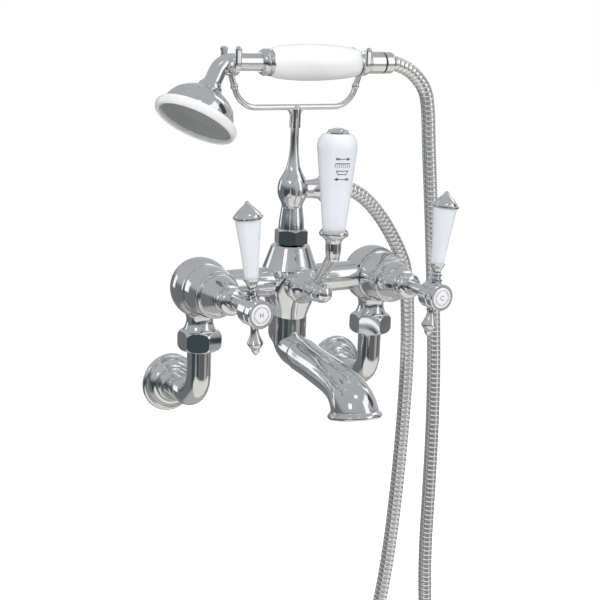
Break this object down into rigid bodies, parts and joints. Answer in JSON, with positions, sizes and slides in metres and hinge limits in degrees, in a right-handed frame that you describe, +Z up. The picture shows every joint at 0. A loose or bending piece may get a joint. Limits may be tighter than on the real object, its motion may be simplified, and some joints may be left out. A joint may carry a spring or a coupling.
{
  "type": "shower mixer",
  "caption": "Wall mounted bath and shower mixer with cranked legs, spout, lever valves, lever diverter and a cradled handset on a ribbed hose.",
  "frame": {"origin": "midway between the two wall inlets, on the wall's surface", "axes": "+X to the right when facing the mixer, +Y into the wall, +Z up"},
  "size_m": [0.3321, 0.2213, 0.7575],
  "materials": {
    "chrome": "polished chromium plate on brass",
    "porcelain": "glazed white porcelain",
    "enamel": "white enamel with a fine dark ring",
    "brass": "machined",
    "rubber": "moulded",
    "rose": "satin steel",
    "hose": "chromium plated interlocked strip"
  },
  "bodies": {
    "root": {"mixer_body": "chrome", "spout": "chrome", "spout_seal": "rubber", "union_washers": "rubber", "wall_flange_left": "chrome", "wall_flange_right": "chrome", "elbow_left": "chrome", "elbow_right": "chrome", "union_nut_left": "chrome", "union_nut_right": "chrome", "bonnet_left": "chrome", "bonnet_right": "chrome", "cartridge_left": "brass", "cartridge_right": "brass", "diverter_bonnet": "chrome", "diverter_cartridge": "brass", "riser_washer": "rubber", "riser_nut": "chrome", "riser_column": "chrome", "cradle": "chrome", "hose_nut_lower": "chrome", "hose_washer_lower": "rubber", "hose": "hose"},
    "left_lever": {"spindle_left": "chrome", "lever_hub_left": "chrome", "index_disc_left": "enamel", "lever_neck_left": "chrome", "lever_grip_left": "porcelain", "lever_cap_left": "chrome", "lever_finial_left": "chrome"},
    "right_lever": {"spindle_right": "chrome", "lever_hub_right": "chrome", "index_disc_right": "enamel", "lever_neck_right": "chrome", "lever_grip_right": "porcelain", "lever_cap_right": "chrome", "lever_finial_right": "chrome"},
    "diverter_lever": {"diverter_spindle": "chrome", "diverter_ball": "chrome", "diverter_arm": "chrome", "diverter_grip": "porcelain", "diverter_rosette": "chrome"},
    "handset": {"handset_tube": "chrome", "front_ferrule": "chrome", "handset_grip": "porcelain", "rear_collar": "chrome", "tail_piece": "chrome", "tail_seal": "rubber", "head_nut": "chrome", "head_shell": "chrome", "head_ring": "porcelain", "rose_plate": "rose", "hose_nut_upper": "chrome", "hose_washer_upper": "rubber"}
  },
  "joints": [
    {"name": "left_lever_turn", "type": "hinge", "parent": "root", "child": "left_lever", "pos_m": [-0.09, -0.063, 0.103], "axis": [0, -1, 0], "range_deg": [0, 90]},
    {"name": "right_lever_turn", "type": "hinge", "parent": "root", "child": "right_lever", "pos_m": [0.09, -0.063, 0.103], "axis": [0, 1, 0], "range_deg": [0, 90]},
    {"name": "diverter_turn", "type": "hinge", "parent": "root", "child": "diverter_lever", "pos_m": [0, -0.063, 0.103], "axis": [0, 1, 0], "range_deg": [-40, 40]},
    {"name": "handset_lift", "type": "slide", "parent": "root", "child": "handset", "axis": [0, 0, 1], "range_m": [0, 0.06]}
  ]
}
